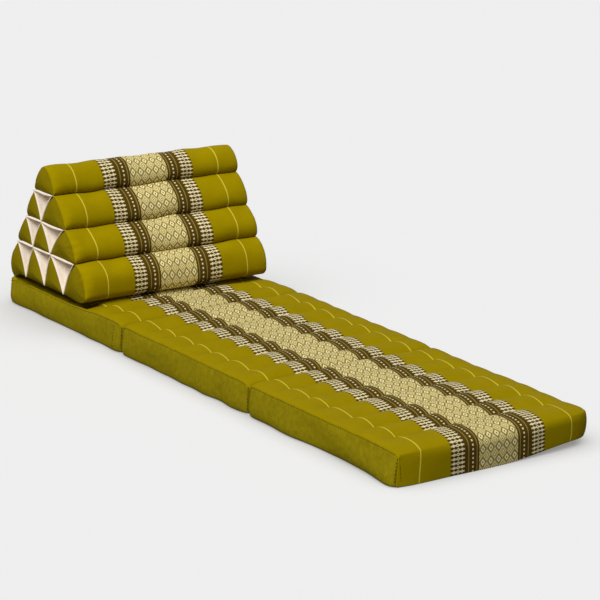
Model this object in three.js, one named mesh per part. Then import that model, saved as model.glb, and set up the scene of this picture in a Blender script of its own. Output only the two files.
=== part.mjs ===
// Folding floor cushion: a quilted mattress in three sections with a triangular back rest on its head end.
// Millimetres, +Z up. The origin is on the floor under the middle of the whole cushion. +X runs across
// the width and +Y along the length, from the foot to the head.

import * as THREE from 'three';

// Mattress
const mattressHalfWidth = 250;
const mattressMiddle = -8;
const mattressHalfLength = 815;
const seamHeight = 72;
const valleyHeight = 71;
const crestHeight = 82;
const jointHeight = 67;
const crestFullness = 0.75;
const edgeWave = 2;
const edgeLift = 6;
const endChannel = 76;
const stepsPerChannel = 6;
const clothGap = 0.3;

// Quilted channels of each section, as their widths from the head to the foot.
// A rounded end takes the last of its section's length for its own wrapped channel.
const sections = [
  { node: 'mattress_section_head', head: 'rounded', foot: 'joint', channels: [74, 70, 73, 71, 75, 82] },
  { node: 'mattress_section_middle', head: 'joint', foot: 'joint', channels: [90, 66, 78, 75, 70, 84, 81] },
  { node: 'mattress_section_foot', head: 'joint', foot: 'rounded', channels: [83, 79, 75, 84, 78, 76] },
];

// Rounded end of the mattress: how far a slice lies beyond the stitched corner, its lowest and
// highest point, and how far its sides draw in.
const endSlices = [
  { out: -45, low: 0, high: 82, draw: 0 },
  { out: -25, low: 0, high: 80.5, draw: 0 },
  { out: -8, low: 0, high: 74, draw: 0 },
  { out: 3, low: 0, high: 66, draw: 2 },
  { out: 11, low: 3, high: 58, draw: 7 },
  { out: 18, low: 13, high: 49, draw: 17 },
  { out: 22, low: 25, high: 42, draw: 36 },
];

// Columns across the top: place as a share of the half width, how far the cloth has risen from the side
// seam there, and how deep the sewn valleys dip. They run out before the edge.
const topColumns = [
  { place: -1, rise: 0, dip: 1 },
  { place: -0.95, rise: 0.37, dip: 0.2 },
  { place: -0.86, rise: 0.65, dip: 0.45 },
  { place: -0.72, rise: 0.88, dip: 1 },
  { place: 0, rise: 1, dip: 1 },
  { place: 0.72, rise: 0.88, dip: 1 },
  { place: 0.86, rise: 0.65, dip: 0.45 },
  { place: 0.95, rise: 0.37, dip: 0.2 },
  { place: 1, rise: 0, dip: 1 },
];

// Levels on the flank: share of the height, and how far the cloth swells out there.
const flankLevels = [
  { share: 0.7, swell: 3 },
  { share: 0.3, swell: 3 },
];

// Side panels
const panelThickness = 1.6;
const panelBottom = 2;
const panelTop = 70;
const panelInset = 2;

// Back rest
const ridgePeak = -6;
const cushionMiddle = 634;
const cushionBottom = crestHeight + clothGap;
const tubeHalfLength = 256;
const frontSwell = 18;
const backSwell = 13;
const wallSwell = 5;
const endSwellShare = 0.55;
const stepsPerSide = 5;
const seamClearance = 0.25;
const capRise = 10;
const capShoulder = 0.62;
const capThickness = 1.5;
const liningThickness = 1.2;

// Rows of the back rest from the ridge down, with the lower corners of their tubes from front to back.
// The peaks of a row's tubes lie under the corners of the row above. Each row has slid a little askew
// along the mattress, by an angle in degrees, with its ends still square to the mattress.
const rows = [
  { corners: [-50, 38], height: 70, askew: -4.6 },
  { corners: [-97, 4, 82], height: 74, askew: -3.8 },
  { corners: [-142, -37, 48, 128], height: 72, askew: -3.6 },
  { corners: [-190, -93, -1, 90, 184], height: 83, askew: -2.8 },
];
rows.forEach((row, level) => {
  row.peaks = level === 0 ? [ridgePeak] : rows[level - 1].corners;
  row.tubes = row.corners.length - 1;
});

// Slices along a tube: distance in from its end, and share of the full swell there.
const tubeSlices = [
  { inward: 0, share: endSwellShare },
  { inward: 10, share: 0.85 },
  { inward: 30, share: 1 },
];

const patternedCloth = { color: 0xa08c1e, roughness: 0.9, metalness: 0 };
const plainCloth = { color: 0x8c7908, roughness: 0.92, metalness: 0 };
const sideCloth = { color: 0x8f8121, roughness: 0.95, metalness: 0 };
const creamCloth = { color: 0xe8d5bc, roughness: 0.92, metalness: 0 };

function mesh(name, geometry, cloth) {
  const piece = new THREE.Mesh(geometry, new THREE.MeshStandardMaterial(cloth));
  piece.name = name;
  return piece;
}

// Skins a row of rings that have the same number of points. With tips the two ends close in a fan,
// otherwise the last ring joins the first.
function skin(rings, startTip, endTip) {
  const count = rings[0].length;
  const points = rings.flat();
  const faces = [];
  const spans = startTip ? rings.length - 1 : rings.length;
  for (let r = 0; r < spans; r += 1) {
    const near = r * count;
    const far = ((r + 1) % rings.length) * count;
    for (let i = 0; i < count; i += 1) {
      const next = (i + 1) % count;
      faces.push(near + i, near + next, far + next, near + i, far + next, far + i);
    }
  }
  if (startTip) {
    const last = (rings.length - 1) * count;
    points.push(startTip, endTip);
    for (let i = 0; i < count; i += 1) {
      const next = (i + 1) % count;
      faces.push(points.length - 2, next, i, points.length - 1, last + i, last + next);
    }
  }
  return closedGeometry(points, faces);
}

// Turns the faces outwards if the enclosed volume comes out negative.
function closedGeometry(points, faces) {
  let volume = 0;
  for (let i = 0; i < faces.length; i += 3) {
    const [a, b, c] = [points[faces[i]], points[faces[i + 1]], points[faces[i + 2]]];
    volume += a.dot(new THREE.Vector3().crossVectors(b, c));
  }
  const geometry = new THREE.BufferGeometry().setFromPoints(points);
  geometry.setIndex(volume < 0 ? faces.slice().reverse() : faces);
  geometry.computeVertexNormals();
  return geometry;
}

function middleOf(ring) {
  const sum = new THREE.Vector3();
  ring.forEach((point) => sum.add(point));
  return sum.divideScalar(ring.length);
}

// One slice of the mattress at y: top columns from -X to +X, flank down, bottom, flank up.
function mattressSlice(slice) {
  const half = mattressHalfWidth - panelThickness - clothGap - flankLevels[0].swell - slice.draw;
  const ring = topColumns.map((column) => new THREE.Vector3(
    column.place * half,
    slice.y,
    THREE.MathUtils.lerp(slice.edge, THREE.MathUtils.lerp(slice.crest, slice.high, column.dip), column.rise),
  ));
  const flank = (side, levels) => levels.forEach((level) => ring.push(new THREE.Vector3(
    side * (half + level.swell),
    slice.y,
    THREE.MathUtils.lerp(slice.low, slice.edge, level.share),
  )));
  flank(1, [...flankLevels, { share: 0, swell: 0 }]);
  flank(-1, [{ share: 0, swell: 0 }, ...flankLevels.toReversed()]);
  return ring;
}

// Height of the cloth across one channel, from valley to crest to valley.
function channelHeight(share, start, end) {
  const floor = THREE.MathUtils.lerp(start, end, share);
  return floor + (crestHeight - floor) * Math.sin(Math.PI * share) ** crestFullness;
}

// Slices of one section from its head to its foot.
function sectionSlices(section, headY, footY) {
  const slices = [];
  const rounded = (direction, corner) => endSlices.map((slice) => ({
    y: corner + direction * slice.out,
    low: slice.low,
    high: slice.high,
    crest: slice.high,
    edge: Math.min(seamHeight, slice.high + edgeLift),
    draw: slice.draw,
  }));
  const plain = (y, high) => ({
    y,
    low: 0,
    high,
    crest: high > jointHeight ? crestHeight : high,
    edge: seamHeight - edgeWave * (crestHeight - high) / (crestHeight - valleyHeight),
    draw: 0,
  });

  let y = headY;
  if (section.head === 'rounded') {
    slices.push(...rounded(1, headY).reverse());
    y = headY + endSlices[0].out;
    for (let step = 1; step <= stepsPerChannel / 2; step += 1) {
      const share = 0.5 + step / stepsPerChannel;
      slices.push(plain(y - endChannel * (share - 0.5), channelHeight(share, valleyHeight, valleyHeight)));
    }
    y -= endChannel / 2;
  } else {
    slices.push(plain(headY - clothGap / 2, jointHeight));
  }
  section.channels.forEach((width, index) => {
    const first = index === 0 && section.head === 'joint';
    const last = index === section.channels.length - 1 && section.foot === 'joint';
    const start = first ? jointHeight : valleyHeight;
    const end = last ? jointHeight : valleyHeight;
    const run = last ? y - footY - clothGap / 2 : width;
    for (let step = 1; step <= stepsPerChannel; step += 1) {
      const share = step / stepsPerChannel;
      slices.push(plain(y - run * share, channelHeight(share, start, end)));
    }
    y -= run;
  });
  if (section.foot === 'rounded') {
    const crest = footY - endSlices[0].out;
    for (let step = 1; step < stepsPerChannel / 2; step += 1) {
      const share = step / stepsPerChannel;
      slices.push(plain(y - (y - crest) * share * 2, channelHeight(share, valleyHeight, valleyHeight)));
    }
    slices.push(...rounded(-1, footY));
  }
  return slices;
}

function mattressSection(section, headY, footY) {
  const rings = sectionSlices(section, headY, footY).map(mattressSlice);
  return mesh(section.node, skin(rings, middleOf(rings[0]), middleOf(rings.at(-1))), patternedCloth);
}

// A flank panel, swollen out in the middle of its height like the flank behind it.
function sidePanel(name, side, headY, footY) {
  const inner = mattressHalfWidth - panelThickness - flankLevels[0].swell;
  const slope = flankLevels[1].swell / (flankLevels[1].share * seamHeight);
  const edgeSwell = (z) => slope * Math.min(z, seamHeight - z);
  const levels = [
    { z: panelBottom, swell: edgeSwell(panelBottom) },
    ...flankLevels.toReversed().map((level) => ({ z: level.share * seamHeight, swell: level.swell })),
    { z: panelTop, swell: edgeSwell(panelTop) },
  ];
  const rings = levels.map((level) => [
    new THREE.Vector3(side * (inner + level.swell), headY - panelInset, level.z),
    new THREE.Vector3(side * (inner + level.swell), footY + panelInset, level.z),
    new THREE.Vector3(side * (inner + level.swell + panelThickness), footY + panelInset, level.z),
    new THREE.Vector3(side * (inner + level.swell + panelThickness), headY - panelInset, level.z),
  ]);
  return mesh(name, skin(rings, middleOf(rings[0]), middleOf(rings.at(-1))), sideCloth);
}

// Points from one corner towards the next, swollen out to the right of the way.
function swollenSide(from, to, swell) {
  const way = new THREE.Vector2().subVectors(to, from);
  const outward = new THREE.Vector2(way.y, -way.x).normalize();
  const points = [];
  for (let step = 0; step < stepsPerSide; step += 1) {
    const share = step / stepsPerSide;
    const rise = swell * (1 - (2 * share - 1) ** 2);
    points.push(from.clone().addScaledVector(way, share).addScaledVector(outward, rise));
  }
  return points;
}

// Moves an anticlockwise outline inwards by a distance, corners along their bisectors.
function inset(outline, distance) {
  return outline.map((point, index) => {
    const before = outline.at(index - 1);
    const after = outline[(index + 1) % outline.length];
    const a = new THREE.Vector2(before.y - point.y, point.x - before.x).normalize();
    const b = new THREE.Vector2(point.y - after.y, after.x - point.x).normalize();
    const bisector = a.clone().add(b);
    return point.clone().addScaledVector(bisector, distance / (1 + a.dot(b)));
  });
}

// Upright cell of the section, in y and z from the middle of its row's floor.
function tubeOutline(row, index, share) {
  const front = index === 0 ? frontSwell * share : wallSwell;
  const back = index === row.tubes - 1 ? backSwell * share : wallSwell;
  const low = new THREE.Vector2(row.corners[index], 0);
  const far = new THREE.Vector2(row.corners[index + 1], 0);
  const peak = new THREE.Vector2(row.peaks[index], row.height);
  const outline = [
    ...swollenSide(low, far, 0),
    ...swollenSide(far, peak, back),
    ...swollenSide(peak, low, front),
  ];
  return inset(outline, seamClearance);
}

// Hanging cell between two tubes, its slanting walls pressed in by the filling beside them.
function gapOutline(row, index) {
  const near = new THREE.Vector2(row.peaks[index], row.height);
  const far = new THREE.Vector2(row.peaks[index + 1], row.height);
  const foot = new THREE.Vector2(row.corners[index + 1], 0);
  return [
    ...swollenSide(near, foot, -wallSwell),
    ...swollenSide(foot, far, -wallSwell),
    ...swollenSide(far, near, 0),
  ];
}

function atX(outline, x) {
  return outline.map((point) => new THREE.Vector3(x, point.x, point.y));
}

// Shrinks a ring towards its middle and lifts it along X.
function domeRing(ring, share, lift) {
  const middle = middleOf(ring);
  return ring.map((point) => point.clone().lerp(middle, 1 - share).add(new THREE.Vector3(lift, 0, 0)));
}

function tube(row, index, name) {
  const ends = tubeSlices.map((slice) => ({ x: tubeHalfLength - slice.inward, share: slice.share }));
  const rings = [
    ...ends.map((slice) => atX(tubeOutline(row, index, slice.share), -slice.x)),
    ...ends.toReversed().map((slice) => atX(tubeOutline(row, index, slice.share), slice.x)),
  ];
  const dome = (ring, side) => ({
    ring: domeRing(ring, capShoulder, side * capRise * capShoulder),
    tip: middleOf(ring).add(new THREE.Vector3(side * capRise, 0, 0)),
  });
  const left = dome(rings[0], -1);
  const right = dome(rings.at(-1), 1);
  return mesh(name, skin([left.ring, ...rings, right.ring], left.tip, right.tip), patternedCloth);
}

// Domed end panel, lying on the end of its tube.
function endCap(row, index, side, name) {
  const edge = atX(tubeOutline(row, index, endSwellShare), side * tubeHalfLength);
  const layer = (depth) => ({
    edge: domeRing(edge, 1, side * depth),
    ring: domeRing(edge, capShoulder, side * (depth + capRise * capShoulder)),
    tip: middleOf(edge).add(new THREE.Vector3(side * (depth + capRise), 0, 0)),
  });
  const inner = layer(clothGap);
  const outer = layer(clothGap + capThickness);
  const rings = [outer.ring, outer.edge, inner.edge, inner.ring];
  return mesh(name, skin(rings, outer.tip, inner.tip), plainCloth);
}

// Lining of a hollow between the tubes, open at both ends.
function gapLining(row, index, name) {
  const reach = tubeHalfLength + clothGap + capThickness;
  const outer = inset(gapOutline(row, index), seamClearance);
  const inner = inset(outer, liningThickness);
  const rings = [atX(outer, -reach), atX(outer, reach), atX(inner, reach), atX(inner, -reach)];
  return mesh(name, skin(rings), creamCloth);
}

const mattress = new THREE.Group();
mattress.position.x = mattressMiddle;
const wrappedEnd = endChannel / 2 - endSlices[0].out;
let headY = mattressHalfLength;
sections.forEach((section) => {
  const roundedEnds = [section.head, section.foot].filter((end) => end === 'rounded').length;
  const run = section.channels.reduce((sum, width) => sum + width, 0);
  const footY = headY - run - roundedEnds * wrappedEnd;
  const label = section.node.replace('mattress_section_', '');
  mattress.add(mattressSection(section, headY, footY));
  mattress.add(sidePanel(`side_panel_near_${label}`, -1, headY, footY));
  mattress.add(sidePanel(`side_panel_far_${label}`, 1, headY, footY));
  headY = footY;
});

const backRest = new THREE.Group();
backRest.position.set(0, cushionMiddle, cushionBottom);
rows.forEach((row, level) => {
  const rowGroup = new THREE.Group();
  const slide = Math.tan(THREE.MathUtils.degToRad(row.askew));
  rowGroup.position.z = rows.slice(level + 1).reduce((sum, lower) => sum + lower.height, 0);
  for (let index = 0; index < row.tubes; index += 1) {
    const label = `row${level + 1}_${index + 1}`;
    rowGroup.add(tube(row, index, `tube_${label}`));
    rowGroup.add(endCap(row, index, -1, `end_cap_near_${label}`));
    rowGroup.add(endCap(row, index, 1, `end_cap_far_${label}`));
    if (index > 0) {
      rowGroup.add(gapLining(row, index - 1, `gap_lining_row${level + 1}_${index}`));
    }
  }
  rowGroup.children.forEach((piece) => {
    piece.geometry.applyMatrix4(new THREE.Matrix4().makeShear(slide, 0, 0, 0, 0, 0));
  });
  backRest.add(rowGroup);
});

const floorCushion = new THREE.Group();
floorCushion.add(mattress, backRest);

export default floorCushion;
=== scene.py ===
import math
import bpy
import numpy as np
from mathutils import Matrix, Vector


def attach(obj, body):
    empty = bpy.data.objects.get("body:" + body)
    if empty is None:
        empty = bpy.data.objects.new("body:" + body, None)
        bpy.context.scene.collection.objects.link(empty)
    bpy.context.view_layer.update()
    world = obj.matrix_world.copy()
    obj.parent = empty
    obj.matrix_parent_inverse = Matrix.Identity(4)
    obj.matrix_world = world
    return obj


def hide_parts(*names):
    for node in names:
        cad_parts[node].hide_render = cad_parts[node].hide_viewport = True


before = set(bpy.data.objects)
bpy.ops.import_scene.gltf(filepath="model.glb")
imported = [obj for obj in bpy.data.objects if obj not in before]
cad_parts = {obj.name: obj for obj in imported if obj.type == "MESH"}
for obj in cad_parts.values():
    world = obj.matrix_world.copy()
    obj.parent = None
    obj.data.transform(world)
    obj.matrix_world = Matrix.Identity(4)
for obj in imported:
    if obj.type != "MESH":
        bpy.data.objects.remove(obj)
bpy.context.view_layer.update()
scene = bpy.context.scene
bothSides = ((-1, "near"), (1, "far"))
print("frame loaded with", len(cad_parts), "nodes")


# small tools

class Plan(dict):  # a dictionary whose values are also read with a dot
    __getattr__ = dict.__getitem__


def smoothStep(low, high, value):
    t = np.clip((value - low) / (high - low), 0, 1)
    return t * t * (3 - 2 * t)


def zone(spans, y, x):  # 1 within a part of the mattress, fading to 0 over a span along and one across
    return smoothStep(*spans[0], y) * smoothStep(*spans[1], x)


def unevenness(a, b, seed, size, height):  # slow random swell over two directions
    rng = np.random.default_rng(seed)
    total = 0 * (a + b)
    for turn in rng.uniform(0, 2 * math.pi, 8):
        rate = 2 * math.pi / (size * rng.uniform(0.7, 1.5))
        total = total + np.sin(rate * (a * math.cos(turn) + b * math.sin(turn)) + rng.uniform(0, 2 * math.pi))
    return height * total / 3


def arcLength(points):  # running length along a row of points
    steps = np.linalg.norm(np.diff(points, axis=0), axis=1)
    return np.concatenate([[0], np.cumsum(steps)])


def roundLength(ring):  # the same all the way round, back to the first point
    return arcLength(np.concatenate([ring, ring[:1]]))


def cellsOf(grid):  # the four corners of every cell of a grid
    cells = np.stack([grid[:-1, :-1], grid[:-1, 1:], grid[1:, 1:], grid[1:, :-1]], axis=2)
    return cells.reshape(-1, *cells.shape[2:])


def gridFaces(points, uvs, closed):  # quads of a grid of points, with the map of each corner
    order = np.arange(points.shape[0] * points.shape[1]).reshape(points.shape[:2])
    return cellsOf(np.concatenate([order, order[:1]]) if closed else order), cellsOf(uvs)


def addObject(name, data):
    item = bpy.data.objects.new(name, data)
    scene.collection.objects.link(item)
    return item


def makePiece(name, points, quads, quadUvs, material, ends=(), plainPlace=0.24):
    faces = quads.tolist() + [list(end) for end in ends]
    mesh = bpy.data.meshes.new(name)
    mesh.from_pydata(points.reshape(-1, 3).tolist(), [], faces)
    endUvs = [np.full((len(end), 2), plainPlace) for end in ends]  # where the cloth has no pattern
    uvs = np.concatenate([quadUvs.reshape(-1, 2), *endUvs]).astype(np.float32)
    mesh.uv_layers.new(name="clothMap").data.foreach_set("uv", uvs.ravel())
    mesh.materials.append(material)
    mesh.polygons.foreach_set("use_smooth", [True] * len(faces))
    mesh.update()
    return addObject(name, mesh)


def makeFilled(name, points, uvs, material):  # a closed grid with a face over each end
    quads, quadUvs = gridFaces(points, uvs, True)
    order = np.arange(points.shape[0] * points.shape[1]).reshape(points.shape[:2])
    return makePiece(name, points, quads, quadUvs, material, [order[:, 0], order[::-1, -1]])


def putInPlace(piece, node):
    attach(piece, "root")
    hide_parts(node)


def thicken(piece, thickness, offset):
    shell = piece.modifiers.new("thickness", "SOLIDIFY")
    shell.thickness = thickness
    shell.offset = offset


# cloth materials

def linear(colour):  # screen colour from 0 to 255 to the light it stands for
    parts = [c / 255 for c in colour]
    return [c / 12.92 if c <= 0.04045 else ((c + 0.055) / 1.055) ** 2.4 for c in parts] + [1]


def setInputs(node, values):  # a socket takes a fixed value or what another node gives
    for socket, value in values.items():
        if isinstance(value, (int, float, list, tuple)):
            node.inputs[socket].default_value = value
        else:
            node.id_data.links.new(value, node.inputs[socket])


def fromNode(kind, inputs, output=0, **settings):  # what a new node gives, in the tree its inputs come from
    tree = next(value.id_data for value in inputs.values() if hasattr(value, "id_data"))
    node = tree.nodes.new("ShaderNode" + kind)
    for name, value in settings.items():
        setattr(node, name, value)
    setInputs(node, inputs)
    return node.outputs[output]


def newCloth(name, plan, tint):
    material = bpy.data.materials.new(name)
    material.use_nodes = True
    nodes = material.node_tree.nodes
    nodes.clear()
    shader = nodes.new("ShaderNodeBsdfPrincipled")
    setInputs(nodes.new("ShaderNodeOutputMaterial"), {"Surface": shader.outputs["BSDF"]})
    setInputs(shader, {"Roughness": plan.roughness, "Specular IOR Level": 0.08, "Specular Tint": linear(tint),
                       "Sheen Weight": plan.sheen, "Sheen Roughness": 0.5, "Sheen Tint": linear(tint)})
    return material, shader


def calc(operation, *values):
    return fromNode("Math", dict(enumerate(values)), operation=operation)


def above(value, edge, soft):  # 0 below the edge and 1 above it, with a soft change
    return fromNode("MapRange", {"Value": value, "From Min": edge - soft, "From Max": edge + soft},
                    interpolation_type="SMOOTHSTEP")


def below(value, edge, soft):
    return calc("SUBTRACT", 1, above(value, edge, soft))


def times(a, b):
    return calc("MULTIPLY", a, b)


def between(value, low, high, soft):
    return times(above(value, low, soft), below(value, high, soft))


def either(a, b):
    return calc("MAXIMUM", a, b)


def apart(value, place):  # distance from a place, whichever side
    return calc("ABSOLUTE", calc("SUBTRACT", value, place))


def repeat(value, pitch):  # distance from the middle of the nearest repeat
    return calc("ABSOLUTE", calc("WRAP", value, pitch / 2, -pitch / 2))


def blendColour(share, first, second, kind="MIX"):
    return fromNode("Mix", {"Factor": share, "A": first, "B": second}, "Result",
                    data_type="RGBA", blend_type=kind)


def noiseOf(vector, scale, detail):
    return fromNode("TexNoise", {"Scale": scale, "Detail": detail, "Vector": vector}, "Fac")


def clothWays(shader):  # map of the cloth, and across and along it in millimetres
    mapNode = shader.id_data.nodes.new("ShaderNodeUVMap")
    mapNode.uv_map = "clothMap"
    vector = mapNode.outputs["UV"]
    return vector, *(times(fromNode("SeparateXYZ", {"Vector": vector}, axis), 1000) for axis in "XY")


def weaveHeight(across, along, pitch):  # over and under of the plain weave
    warp, weft = (calc("SINE", times(way, 2 * math.pi / pitch)) for way in (across, along))
    return times(warp, weft)


def raiseCloth(shader, height):
    normal = fromNode("Bump", {"Distance": 0.0006, "Strength": 0.5, "Height": height})
    setInputs(shader, {"Normal": normal})


def dyedUnevenly(vector, colour, plan, paintedShade=1.0):
    # slow cloudiness of the dye, and thick and thin threads across the cloth; the last argument scales it all
    # darker as painted shade
    uneven = plan.uneven
    cloud = noiseOf(vector, plan.clouds, 3)
    thread = noiseOf(fromNode("Mapping", {"Scale": plan.slubs, "Vector": vector}), 1, 2)
    tone = calc("ADD", times(cloud, 0.5), times(thread, 0.5))
    lift = calc("MULTIPLY_ADD", tone, 2 * uneven * paintedShade, (1 - uneven) * paintedShade)
    grey = fromNode("CombineColor", dict.fromkeys(range(3), lift))
    return blendColour(1.0, colour, grey, "MULTIPLY"), tone


bandWeave = Plan(  # woven band down the middle of the cloth, millimetres from its middle line
    colours={
        "olive": (161, 140, 2), "cream": (238, 221, 149), "eyeCream": (255, 242, 180),
        "outline": (110, 89, 30), "fineLine": (156, 134, 66), "brown": (88, 68, 18),
        "tan": (152, 131, 68), "pale": (246, 232, 184), "yellow": (228, 209, 72),
    },
    roughness=0.9, sheen=0.05,
    pitch=(20.8, 29.0),  # of the eyes across and along
    lattice=(0.94, 1.07, 0.05),  # shares of the pitch where its line starts and ends, and the softness
    eye=Plan(half=(8.6, 11.6), light=0.85, ring=(0.73, 1.05, 0.07), line="outline", heart=0.24),
    smallEye=Plan(half=(6.4, 8.6), light=0.70, ring=(0.66, 0.96, 0.08), line="fineLine", heart=0.26),
    eyeSoft=0.08,
    proudEye=(1.06, 0.1),  # the threads of an eye stand out up to here
    fieldEdge=50.6,
    tanLines=[(55.2, 57.8), (76.6, 79.2)],
    dotRow=(65.1, 68.9), dotHalf=2.2, combMiddle=104.4, combHalf=17.1, barHalf=1.55,
    barShort=0.6, barSoft=0.4, middleBead=(6.0, 4.3), sideBead=(5.1, 3.9),
    beadPlace=10.2, beadHole=(2.0, 1.5),
    tooth=(-3.0, 1.6),  # from the edge of the comb
    toothGap=0.9, oliveStart=-0.8, sideLine=(192.6, 195.4), sideShare=0.9, soft=0.5,
    clouds=22, slubs=(60, 900, 1), uneven=0.20, weave=1.5,
    relief=(0.25, 0.6, 0.7),  # of the ground weave, the pattern and the slubs
)


def patternedClothMaterial(name, paintedShade):
    # the second argument scales the brightness of the whole cloth, as painted shade
    weave, soft = bandWeave, bandWeave.soft
    material, shader = newCloth(name, weave, weave.colours["olive"])
    paint = {key: linear(value) for key, value in weave.colours.items()}
    vector, across, along = clothWays(shader)
    out = calc("ABSOLUTE", across)
    acrossPitch, alongPitch = weave.pitch

    def diamond(x, y, halfWide, halfTall):
        return calc("ADD", calc("DIVIDE", x, halfWide), calc("DIVIDE", y, halfTall))

    def paintOver(share, colour, paintName):
        return blendColour(share, colour, paint[paintName])

    # lattice of diamond eyes in the field, with small ones between
    a, b = repeat(across, acrossPitch), repeat(along, alongPitch)
    a2, b2 = (calc("SUBTRACT", pitch / 2, way) for pitch, way in zip(weave.pitch, (a, b)))
    link = diamond(a, b, acrossPitch / 2, alongPitch / 2)
    colour = paintOver(between(link, *weave.lattice), paint["cream"], "fineLine")
    for u, v, plan in ((a2, b2, weave.smallEye), (a, b, weave.eye)):
        eye = diamond(u, v, *plan.half)
        colour = paintOver(below(eye, plan.light, weave.eyeSoft), colour, "eyeCream")
        colour = paintOver(between(eye, *plan.ring), colour, plan.line)
        colour = paintOver(below(eye, plan.heart, weave.eyeSoft), colour, "outline")

    # brown stripes with fine tan lines and a row of dots
    colour = paintOver(above(out, weave.fieldEdge, soft), colour, "brown")
    for start, end in weave.tanLines:
        colour = paintOver(between(out, start, end, soft), colour, "tan")
    rowPitch = alongPitch / 3
    dotPlace = repeat(calc("ADD", along, rowPitch / 2), rowPitch)
    dots = times(between(out, *weave.dotRow, soft), below(dotPlace, weave.dotHalf, soft))
    colour = paintOver(dots, colour, "pale")

    # comb of beaded bars on brown, its outer edge ending in teeth
    u, v = apart(out, weave.combMiddle), repeat(along, rowPitch)
    besideBead = apart(u, weave.beadPlace)
    beads = either(below(diamond(u, v, *weave.middleBead), 1, 0.1),
                   below(diamond(besideBead, v, *weave.sideBead), 1, 0.1))
    bars = times(below(v, weave.barHalf, weave.barSoft),
                 below(u, weave.combHalf - weave.barShort, soft))
    holes = above(diamond(u, v, *weave.beadHole), 1, 0.2)
    beads = calc("MINIMUM", either(beads, bars), holes)
    colour = paintOver(beads, colour, "pale")
    edge = weave.combMiddle + weave.combHalf
    teeth = times(above(v, weave.barHalf + weave.toothGap, weave.barSoft),
                  between(out, edge + weave.tooth[0], edge + weave.tooth[1], soft))
    olive = calc("MINIMUM", above(out, edge + weave.oliveStart, soft),
                 calc("SUBTRACT", 1, teeth))
    colour = paintOver(olive, colour, "olive")
    sideLine = between(out, *weave.sideLine, soft)
    colour = paintOver(times(sideLine, weave.sideShare), colour, "yellow")
    colour, tone = dyedUnevenly(vector, colour, weave, paintedShade)
    setInputs(shader, {"Base Color": colour})

    # the pattern threads stand a little proud of the ground weave
    ground, pattern, slubs = weave.relief
    eyes = times(below(out, weave.fieldEdge, soft), below(eye, *weave.proudEye))
    proud = times(either(either(beads, dots), eyes), pattern)
    height = calc("MULTIPLY_ADD", weaveHeight(across, along, weave.weave), ground, proud)
    raiseCloth(shader, calc("ADD", height, times(tone, slubs)))
    return material


plainCloths = {
    "plainCloth": Plan(colour=(130, 114, 8), roughness=0.92, sheen=0.05, clouds=30,
                       slubs=(700, 60, 1), weave=1.5, uneven=0.22),
    "sideCloth": Plan(colour=(140, 125, 14), roughness=0.95, sheen=0.08, clouds=75,
                       slubs=(300, 90, 1), weave=1.3, uneven=0.62),
    "creamCotton": Plan(colour=(255, 241, 223), roughness=0.92, sheen=0.05, clouds=14,
                       slubs=(500, 60, 1), weave=1.2, uneven=0.07),
    "stitchThread": Plan(colour=(58, 46, 12), roughness=0.8, sheen=0.1, clouds=14,
                       slubs=(900, 900, 1), weave=0.8, uneven=0.2),
}


def plainClothMaterial(name, relief=0.3):
    plan = plainCloths[name]
    material, shader = newCloth(name, plan, plan.colour)
    vector, across, along = clothWays(shader)
    colour, tone = dyedUnevenly(vector, linear(plan.colour), plan)
    setInputs(shader, {"Base Color": colour})
    ground = weaveHeight(across, along, plan.weave)
    raiseCloth(shader, calc("MULTIPLY_ADD", ground, relief, tone))
    return material


patternedCloth = patternedClothMaterial("patternedCloth", 1.03)
shadedMattressCloth = patternedClothMaterial("shadedMattressCloth", 0.88)  # painted shade: a darker copy of the same cloth, standing in for the weaker light on the mattress
plainCloth, sideCloth, creamCotton, stitchThread = (plainClothMaterial(name) for name in plainCloths)
print("cloth materials made")


# mattress

mattressPlan = Plan(  # heights, lengths and places in metres, and a pair is a span unless it says otherwise
    middle=-0.008,  # across, from the middle of the whole cushion
    halfLength=0.815,  # to the stitched corners at the ends
    seamHalf=0.2478,  # half width at the side seams
    seamHeight=0.0714, lowEdge=0.0012, valley=0.0700, crest=0.0825,
    crestSpread=0.0007, joint=0.0655, jointGap=0.0016,
    browRun=0.022,  # the filling rises this soon from a joint
    fullness=0.75, endRun=0.045, endChannel=0.076, endBulge=0.015, endMiddle=0.046, endTuck=0.001,
    endSquare=0.72,  # under 1 the end stands squarer than round
    endSteps=(17, 11),  # counts above and below its middle
    wallSteps=9, underSteps=26,
    flatColumns=44,  # across half of the top, with more towards the seam
    edgeColumns=10, edgeShare=0.1, perChannel=14,
    dipAt=(0.185, 0.250),  # the sewn valleys run out here
    edgeDip=(0.15, 0.38),  # what is left of them at the near and the far seam
    middleDip=0.74,  # and in the flattened middle
    middleAt=(0.04, 0.15),
    jointDraw=(0.0045, 0.009),  # how far the flank draws in at a joint, and how soon that fades
    cornerDraw=(0.0040, 0.010),  # the same at the stitched corners
    drawAt=(0.19, 0.243),
    seamDip=(0.0065, 0.013),  # how far the side seam dips at a joint, and how soon that fades
    cornerDrop=(0.0045, 0.016),  # the same at the stitched corners
    farJoint=0.3,  # the far flank hardly shows its joints
    headSink=0.009,  # the side seams sink under the back rest
    sinkAt=(0.36, 0.56),
    headDrop=0.003,  # a little more at the very head
    dropAt=(0.70, 0.80),
    farShare=0.4,  # and less on the far side
    seamWave=(0.0014, 0.0006),  # how far the far and near seams follow the channels
    waveRun=0.016,
    pressed=0.007,  # the quilting sinks under the back rest too
    pressedAt=(0.39, 0.45),
    wander=(0.24, 0.0018),  # size and height of an unevenness, here and below
    pucker=(0.022, 0.0008), puckerAt=(0.0, 0.004), puckerRun=0.011,
    lumps=(0.11, 0.0008), lumpsAt=(0.0, 0.02), freeAt=(0.0, 0.05), fill=0.85,
)

sections = {  # widths of the quilted channels from the head to the foot
    "head": Plan(ends=("rounded", "joint"), channels=[74, 70, 73, 71, 75, 82]),
    "middle": Plan(ends=("joint", "joint"), channels=[90, 66, 78, 75, 70, 84, 81]),
    "foot": Plan(ends=("joint", "rounded"), channels=[83, 79, 75, 84, 78, 76]),
}


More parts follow.
